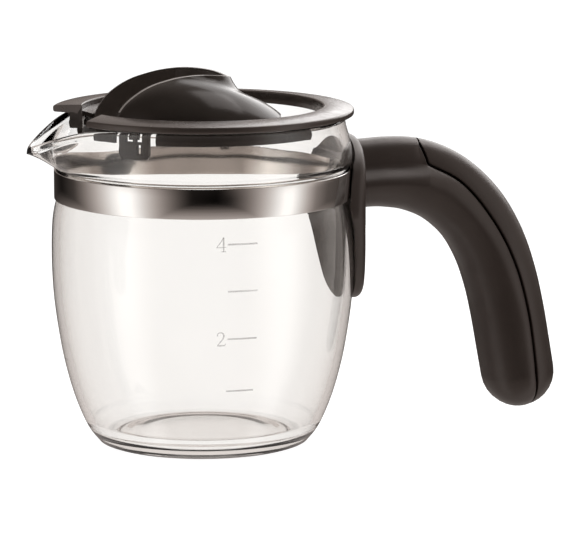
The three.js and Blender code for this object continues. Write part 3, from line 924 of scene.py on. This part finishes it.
def build_shield():
    """The plate that hugs the glass, as rings of points that close in on its middle."""
    outline = shield_outline()
    middle = np.array([0, SHIELD_MIDDLE_Z])
    arm = outline - middle
    reach = np.linalg.norm(arm, axis=1)[:, None]
    outer = []
    for angle in np.linspace(0, pi / 2, 7):
        inset = SHIELD_EDGE_RADIUS * (1 - cos(angle))
        rise = SHIELD_EDGE_RADIUS * sin(angle)
        flat = middle + arm * (1 - inset / reach)
        outer.append(wrapped(flat, SHIELD_R - shield_taper(flat) - SHIELD_EDGE_RADIUS + rise))
    last_arm = flat - middle
    for share in FACE_SHARES:
        flat = middle + last_arm * share
        outer.append(wrapped(flat, SHIELD_R - shield_taper(flat)))
    inner = []
    for share in (1.0, 0.985, 0.94, *FACE_SHARES):
        flat = middle + arm * share
        chamfer = 0.35 if share == 1.0 else 0.0
        inner.append(wrapped(flat, shield_inner_radius(flat[:, 1]) + chamfer))
    rows = outer[::-1] + inner
    count = len(outline)
    faces = grid_faces(len(rows), count)
    middle_r = float(shield_inner_radius(SHIELD_MIDDLE_Z))
    points = np.vstack([*rows, [[SHIELD_R, 0, SHIELD_MIDDLE_Z], [middle_r, 0, SHIELD_MIDDLE_Z]]])
    last = (len(rows) - 1) * count
    for i in range(count):
        j = (i + 1) % count
        faces.append((len(points) - 2, i, j))
        faces.append((len(points) - 1, last + j, last + i))
    return piece("shield", points, faces, 40)


def block(low, high):
    """A box with rounded upright edges."""
    plan = rounded(rectangle(low[0], high[0], low[1], high[1]), [0.3] * 4, 3)
    return tube("block", [[(x, y, z) for x, y in plan] for z in (low[2], high[2])])


def rod(radius, from_x, to_x, z):
    turns = np.linspace(0, 2 * pi, 32, endpoint=False)
    ring = [(radius * cos(t), z + radius * sin(t)) for t in turns]
    return tube("rod", [[(x, *point) for point in ring] for x in (from_x, to_x)])


def build_handle_body():
    loft = lofted("handle_grip_body", body_section, start_s, HOLLOW_FROM)
    made = combine(loft, [build_shield()], "UNION")
    pocket = block((36, -4.8, BAND_LOW_Z - 0.4), (EAR_END_X + 0.5, 4.8, BAND_HIGH_Z + 0.4))
    bore = rod(2.4, 40, 60.5, (BAND_LOW_Z + BAND_HIGH_Z) / 2)
    made = combine(made, [pocket, bore], "DIFFERENCE", 38)
    return rough_inside(made, 41.5, SATIN, MATTE)


dress(build_handle_body(), None, "jug", "satin_plastic", "handle_body")
dress(build_cover(), SATIN, "jug", "satin_plastic", "handle_cover")


# --- lid ring
RING_OUTER_R = 40.75
RING_INNER_R = 32.4
RING_UNDER_Z = 89.1
RING_TOP_Z = 91.6
SKIRT_OUTER_R = 36.0
SKIRT_WALL = 1.4
SKIRT_LOW_Z = 85.0
SKIRT_END = radians(124)
LIP_INNER_R = 28.3
NOTCH_R = (24.0, 27.7, 32.35, 40.7)
NOTCH_Y = (9.4, 9.6, 10.2, 17.0)
TAB_ANGLE = radians(43.4)
TAB_HALF = radians(7.0)
TAB_SLOT = radians(3.1)
TAB_LOW_Z = 81.2
TAB_CUT_R = (33, 38)
# Openings in a tab: from and to as shares of its half width, then lowest and highest Z.
TAB_SLOTS = (
    (-0.58, -0.30, 85.8, 88.3),
    (-0.58, -0.03, 85.8, 86.45),
    (0.28, 0.57, 85.8, 88.3),
    (0.13, 0.57, 85.8, 86.45),
    (0.21, 0.49, 82.7, 85.15),
)
HOOD_X = -4.3
HOOD_R = 25.15


def notch_angle(radius):
    """The angle from the spout at which the open end of the ring lies, by radius."""
    return asin(np.interp(radius, NOTCH_R, NOTCH_Y) / radius)


def around(radius, angle, z):
    """A point at that angle from the spout."""
    return -radius * cos(angle), radius * sin(angle), z


def swept(name, profile, begin, end, steps):
    """A closed profile of (radius, z) swept round Z between two angles, each a function of radius."""
    sections = []
    for f in np.linspace(0, 1, steps + 1):
        sections.append([around(r, begin(r) + (end(r) - begin(r)) * f, z) for r, z in profile])
    return tube(name, sections)


def ring_flange():
    wall_r = RING_INNER_R + SKIRT_WALL
    corners = [(RING_INNER_R, 88.3), (wall_r, 88.3), (wall_r, RING_UNDER_Z)]
    corners += [(RING_OUTER_R, RING_UNDER_Z), (RING_OUTER_R, 90.85), (RING_INNER_R, RING_TOP_Z)]
    profile = rounded(corners, [0.2, 0.2, 0.15, 0.6, 0.65, 0.45], 4)
    end = lambda radius: 2 * pi - notch_angle(radius)
    return swept("lid_ring_moulding", profile, notch_angle, end, 260)


def on_both_sides(name, profile, begin, end, steps):
    """The same sweep on both sides of the spout."""
    return [
        swept(name, profile, begin, end, steps),
        swept(name, profile, lambda r: -end(r), lambda r: -begin(r), steps),
    ]


def skirt_parts():
    """The skirt's two walls, split by the tabs, and the webs that close its ends."""
    top = RING_UNDER_Z + 0.2
    outer = rounded(
        [
            (SKIRT_OUTER_R - SKIRT_WALL, SKIRT_LOW_Z),
            (SKIRT_OUTER_R - 0.1, SKIRT_LOW_Z),
            (SKIRT_OUTER_R + 0.2, SKIRT_LOW_Z + 1.5),
            (SKIRT_OUTER_R - 0.25, SKIRT_LOW_Z + 3.0),
            (SKIRT_OUTER_R - 0.25, top),
            (SKIRT_OUTER_R - SKIRT_WALL, top),
        ],
        [0.2, 0.7, 1.6, 0.8, 0, 0],
    )
    inner = rectangle(RING_INNER_R, RING_INNER_R + SKIRT_WALL, SKIRT_LOW_Z, top)
    full = rectangle(RING_INNER_R + 0.05, SKIRT_OUTER_R - 0.05, SKIRT_LOW_Z + 0.05, top)
    first = TAB_ANGLE - TAB_HALF - TAB_SLOT
    second = TAB_ANGLE + TAB_HALF + TAB_SLOT
    to_end = lambda r: SKIRT_END
    parts = on_both_sides("skirt", outer, notch_angle, lambda r: first, 14)
    parts += on_both_sides("skirt", outer, lambda r: second, to_end, 60)
    parts += on_both_sides("skirt", inner, notch_angle, lambda r: first - radians(5), 20)
    parts += on_both_sides("skirt", inner, lambda r: second + radians(1), to_end, 60)
    parts += on_both_sides("web", full, notch_angle, lambda r: notch_angle(r) + radians(5.5), 4)
    parts += on_both_sides("web", full, lambda r: SKIRT_END - radians(2.4), lambda r: SKIRT_END - 0.001, 3)
    return parts


def lip_parts():
    """The sloping floor inside the ring, cut back round the hood."""
    parts = []
    for side in (1, -1):
        sections = []
        for a in np.linspace(notch_angle(RING_INNER_R), SKIRT_END, 90):
            edge = -HOOD_X * cos(a) + sqrt((HOOD_R + 0.3) ** 2 - (HOOD_X * sin(a)) ** 2)
            inner_r = max(LIP_INNER_R, edge)
            ring = []
            for radius, z in (
                (inner_r, 87.7 + (inner_r - LIP_INNER_R) * 0.27),
                (RING_INNER_R + 0.2, 88.8),
                (RING_INNER_R + 0.2, 90.0),
                (inner_r, 88.6 + (inner_r - LIP_INNER_R) * 0.34),
            ):
                b = max(a, notch_angle(radius)) if a < radians(40) else a
                ring.append(around(radius, side * b, z))
            sections.append(ring)
        parts.append(tube("lip", sections))
    return parts


def tab_parts():
    """The two snap tabs, with round lower corners, a hooked foot and slots."""
    parts = []
    top = RING_UNDER_Z + 0.2
    for side in (1, -1):
        sections = []
        for f in np.linspace(-1, 1, 25):
            corner = max(0.0, (abs(f) - 0.75) / 0.25)
            low = TAB_LOW_Z + 1.1 * (1 - sqrt(max(0.0, 1 - corner**2)))
            # As (distance past the skirt, z).
            ring = [(-1.3, low + 0.2), (-1.0, low), (-0.1, low), (0.25, low + 0.8), (0, low + 2.2)]
            ring += [(0, top), (-1.3, top)]
            turn = side * (TAB_ANGLE + TAB_HALF * f)
            sections.append([around(SKIRT_OUTER_R + out, turn, z) for out, z in ring])
        cutters = []
        for begin, end, low, high in TAB_SLOTS:
            turns = np.linspace(TAB_ANGLE + TAB_HALF * begin, TAB_ANGLE + TAB_HALF * end, 4)
            section = rectangle(*TAB_CUT_R, low, high)
            cutters.append(tube("tab_slot", [[around(r, side * a, z) for r, z in section] for a in turns]))
        parts.append(combine(tube("tab", sections), cutters, "DIFFERENCE"))
    return parts


def build_ring():
    made = combine(ring_flange(), skirt_parts() + lip_parts() + tab_parts(), "UNION", 32)
    set_materials(made, MOULDED, GLOSS)
    for face in made.data.polygons:
        if face.center.z < (RING_UNDER_Z - 0.1) * MM:
            face.material_index = 1
    return made


dress(build_ring(), None, "lid", "satin_plastic", "lid_ring")


# --- lid hood
HOOD_BASE_Z = 89.0
HOOD_RISE = 6.5
HOOD_WALL = 1.7
HOOD_FOOT_Z = 86.0
PLATE_TOP_Z = 87.3
PLATE_R = 32.0
# The plate is cut back by this much from this far before each tab's middle to this far behind it.
PLATE_RELIEF = 3.2
RELIEF_FROM = radians(-20)
RELIEF_TO = radians(12)
BACK_OPENING = radians(58)
BACK_SPREAD = radians(58)
COLLAR_REACH = 1.75
SLOT_INNER = 8.3
SLOT_OUTER = 9.5
SLOT_END_X = -2.1
FOOT_R = HOOD_R - 0.02
MOUTH = pi - asin(SLOT_OUTER / FOOT_R)
# Shares of the wall's thickness, with the drop below the ridge there and the least height over the foot.
SLOT_LIP = ((0.0, 0.35, 0.1), (0.2, 0.06, 0.2), (0.5, 0.0, 0.2))
# The slot's edge seen from the side, as (x, z).
RIDGE = [(-27.6, 88.2), (-26.3, 90.9), (-24.0, 93.9), (-20.2, 96.7), (-16.5, 98.5), (-12.7, 99.6)]
RIDGE += [(-9.0, 100.35), (-3.0, 100.8), (3.4, 100.3), (6.1, 99.7), (7.6, 98.9)]
RIDGE_CURVE = curve_through(RIDGE, 8)


def dome_height(radius):
    share = np.clip(radius / HOOD_R, 0, 1)
    return HOOD_BASE_Z + HOOD_RISE * (1 - share**3.2)


def ridge_height(x):
    return float(np.interp(x, *RIDGE_CURVE.T))


def slot_point(f, half_width):
    """A point of the slot's plan: f runs from 0 at one mouth, round the back, to 1 at the other."""
    mouth_x = HOOD_X - sqrt(FOOT_R**2 - half_width**2)
    straight = SLOT_END_X - mouth_x
    length = 2 * straight + pi * half_width
    along = f * length
    if along < straight:
        return np.array([mouth_x + along, -half_width])
    if along > length - straight:
        return np.array([mouth_x + length - along, half_width])
    turn = (along - straight) / half_width - pi / 2
    return np.array([SLOT_END_X + half_width * cos(turn), half_width * sin(turn)])


def hood_section(f, plate):
    """The closed section of the hood from its slot to its foot, at a share f of the way round the slot."""
    edge, inner = slot_point(f, SLOT_OUTER), slot_point(f, SLOT_INNER)
    turn = (2 * f - 1) * MOUTH
    centre = np.array([HOOD_X, 0])
    foot = np.array([HOOD_X + HOOD_R * cos(turn), HOOD_R * sin(turn)])
    top = ridge_height(edge[0])
    excess = max(0.0, top - dome_height(np.linalg.norm(edge - centre)))
    back = exp(-((turn / BACK_SPREAD) ** 2))
    span = np.linalg.norm(foot - edge)
    points = [(*inner, HOOD_FOOT_Z)]
    for share, drop, least in SLOT_LIP:
        points.append((*(inner + (edge - inner) * share), max(HOOD_FOOT_Z + least, top - drop)))
    for share in np.linspace(0, 1, 30) ** 1.35:
        at = edge + (foot - edge) * share
        away = np.linalg.norm(at - edge)
        collar = excess * exp(-((away / COLLAR_REACH) ** 1.2))
        behind = dome_height(np.linalg.norm(at - centre)) + collar
        flank = HOOD_BASE_Z + max(0.0, top - HOOD_BASE_Z) * (1 - min(1.0, away / span) ** 1.8) ** 0.82
        points.append((*at, float(behind * back + flank * (1 - back))))
    outward = (foot - centre) / HOOD_R
    points.append((*foot, PLATE_TOP_Z))
    reach = 0.02
    if plate:
        along = foot @ outward
        reach = -along + sqrt(max(0.0, along**2 + PLATE_R**2 - foot @ foot))
        rim = foot + outward * reach
        if RELIEF_FROM < atan2(abs(rim[1]), -rim[0]) - TAB_ANGLE < RELIEF_TO:
            reach -= PLATE_RELIEF
        reach = max(0.02, reach)
    rim = foot + outward * reach
    low_edge = edge + (foot - edge) * 0.02
    inside_foot = foot - outward * min(HOOD_WALL, 0.45 * span)
    points += [(*rim, PLATE_TOP_Z - 0.05), (*rim, HOOD_FOOT_Z), (*inside_foot, HOOD_FOOT_Z)]
    for share in np.linspace(1, 0, 16) ** 1.2:
        at = low_edge + (inside_foot - low_edge) * share
        z = dome_height(np.linalg.norm(at - centre) * HOOD_R / (HOOD_R - HOOD_WALL)) - HOOD_WALL
        points.append((*at, float(max(HOOD_FOOT_Z + 0.02, z))))
    points.append((*low_edge, HOOD_FOOT_Z))
    return points


def build_hood():
    opening = BACK_OPENING * 1.12
    edges = [0.5 - opening / (2 * MOUTH), 0.5 + opening / (2 * MOUTH)]
    sections = []
    for f in sorted([*np.linspace(0.0, 1.0, 181), *edges]):
        if f in edges:
            sections += [hood_section(f, f == edges[0]), hood_section(f, f == edges[1])]
        else:
            sections.append(hood_section(f, not edges[0] < f < edges[1]))
    made = tube("lid_hood_moulding", sections, 40)
    set_materials(made, GLOSS, RIM_PAINTED_HIGHLIGHT, CHANNEL_PAINTED_LIGHT)
    for face in made.data.polygons:
        x, y, z = face.center / MM
        from_slot = abs(y) if x < SLOT_END_X else hypot(x - SLOT_END_X, y)
        # The top of the slot's edge takes the light grey: a painted highlight.
        if face.normal.z > 0.5 and z > RING_TOP_Z and SLOT_OUTER - 0.62 < from_slot < SLOT_OUTER + 0.12:
            face.material_index = 1
        # The slot's inner walls take the lighter plastic: painted light in the slot's shade.
        elif abs(face.normal.z) < 0.5 and from_slot < SLOT_INNER + 0.1:
            face.material_index = 2
    return made


dress(build_hood(), None, "lid", "gloss_plastic", "lid_hood")


# --- floor, lights and surroundings
FLOOR_R = 360.0
FLOOR_UNDER_Z = -0.05
PANEL_AIM_Z = 0.08


def add_floor():
    turns = np.linspace(0, 2 * pi, 96, endpoint=False)
    points = [(FLOOR_R * cos(t), FLOOR_R * sin(t), FLOOR_UNDER_Z) for t in turns]
    floor = piece("floor", points, [tuple(range(96))])
    made, graph = node_material("pale_floor")
    pale = {"Base Color": (0.25, 0.25, 0.25, 1), "Emission Color": (1, 1, 1, 1)}
    graph.shade({**pale, "Emission Strength": 0.97, "Roughness": 0.9})
    set_materials(floor, made)
    floor.visible_glossy = False
    floor.visible_diffuse = False
    floor.visible_transmission = False


def add_panel(name, right, away, up, width, height, brightness, glossy=True):
    """A soft panel that faces the jug, placed as the camera sees it: right, away and up, in metres."""
    data = bpy.data.lights.new(name, "AREA")
    data.shape = "RECTANGLE"
    data.size = width
    data.size_y = height
    data.energy = brightness * pi * width * height
    light = add_object(name, data)
    light.location = camera_right * right - towards_camera * away + WORLD_UP * up
    aim = Vector((0, 0, PANEL_AIM_Z)) - light.location
    light.rotation_euler = aim.to_track_quat("-Z", "Y").to_euler()
    light.visible_glossy = glossy
    light.visible_camera = False
    light.visible_transmission = False


# Brightness as the eye sees it, by degrees round from the camera, positive to the right.
LOW_PANELS = [(-180, 0.26), (-160, 0.22), (-140, 0.13), (-118, 0.27), (-66, 1.14), (-57, 1.13)]
LOW_PANELS += [(-8, 0.13), (10, 0.08), (20, 0.18), (66, 1.15), (73, 1.15)]
LOW_PANELS += [(98, 0.53), (112, 0.36), (130, 0.30), (180, 0.26)]
HIGH_PANELS = [(-180, 0.70), (-150, 0.56), (-120, 0.40), (-70, 1.00), (-55, 0.95), (-8, 0.14)]
HIGH_PANELS += [(12, 0.12), (60, 0.95), (75, 1.00), (110, 0.75), (145, 0.82), (180, 0.70)]
GROUND_LIGHT = 0.6
GLASS_EDGE_LIGHT = 0.8
GLASS_FRONT_SHARE = 0.45
WARMTH_DARK = (1.0, 0.82, 0.74)
WARMTH_LIGHT = (1.0, 0.965, 0.94)
SCREEN_GAMMA = 2.2
BACKDROP = 1.12


def panels(graph, share, stops):
    """A ring of soft panels round the jug, as linear light."""
    made = graph.node("ValToRGB", {"Fac": share})
    made.color_ramp.interpolation = "LINEAR"
    elements = made.color_ramp.elements
    for _ in stops[2:]:
        elements.new(0.5)
    for element, (degrees, seen) in zip(elements, stops):
        element.position = (degrees + 180) / 360
        element.color = (seen, seen, seen, 1)
    return graph.math("POWER", made.outputs["Color"], SCREEN_GAMMA)


def add_world():
    """White for what is seen directly or through the glass, and a studio of soft panels for reflections."""
    world = bpy.data.worlds.new("studio")
    bpy.context.scene.world = world
    world.use_nodes = True
    graph = Graph(world.node_tree, "OutputWorld")
    direction = graph.node("TexCoord").outputs["Generated"]
    side = graph.dot(direction, camera_right)
    front = graph.dot(direction, towards_camera)
    height = graph.dot(direction, WORLD_UP)
    share = graph.math("MULTIPLY_ADD", graph.math("ARCTAN2", side, front), 0.5 / pi, 0.5)
    levels = {
        "Factor": graph.eased(height, -0.06, 0.14, 0.0, 1.0),
        "A": panels(graph, share, LOW_PANELS),
        "B": panels(graph, share, HIGH_PANELS),
    }
    level = graph.node("Mix", levels, data_type="FLOAT").outputs["Result"]
    overhead = graph.eased(height, 0.45, 0.95, 0.0, 0.9)
    ahead = graph.eased(front, -0.50, 0.0, 0.0, 1.0)
    kept = graph.math("SUBTRACT", 1.0, graph.math("MULTIPLY", overhead, ahead))
    level = graph.math("MULTIPLY", level, kept)
    level = graph.math("MAXIMUM", level, graph.eased(height, -0.55, -0.12, GROUND_LIGHT, 0.0))
    path = graph.node("LightPath").outputs
    inside = graph.math("MULTIPLY", path["Is Transmission Ray"], GLASS_EDGE_LIGHT)
    behind = graph.math("MAXIMUM", graph.eased(front, -0.55, -0.05, 1.0, 0.0), GLASS_FRONT_SHARE)
    level = graph.math("MAXIMUM", level, graph.math("MULTIPLY", inside, behind))
    studio = {"Color": graph.mixed(level, WARMTH_DARK, WARMTH_LIGHT), "Strength": level}
    white = {"Color": (1, 1, 1, 1), "Strength": BACKDROP}
    bounced = graph.math("ADD", path["Glossy Depth"], path["Diffuse Depth"])
    straight = graph.math("LESS_THAN", bounced, 0.5)
    through = graph.math("MULTIPLY", path["Is Transmission Ray"], straight)
    shaders = {
        0: graph.math("MAXIMUM", path["Is Camera Ray"], through),
        1: graph.node("Background", studio).outputs["Background"],
        2: graph.node("Background", white).outputs["Background"],
    }
    mix = graph.node("MixShader", shaders)
    graph.feed(graph.output.inputs["Surface"], mix.outputs["Shader"])


add_floor()
add_world()
add_panel("upper_right_panel", 0.37, 0.30, 0.93, 0.46, 0.46, 3.4)
add_panel("behind_panel", 0.195, 0.34, 0.31, 0.40, 0.40, 2.5)
add_panel("overhead_fill", 0.0, 0.25, 1.0, 0.9, 0.8, 1.6, glossy=False)
bpy.context.scene.view_settings.view_transform = "Standard"
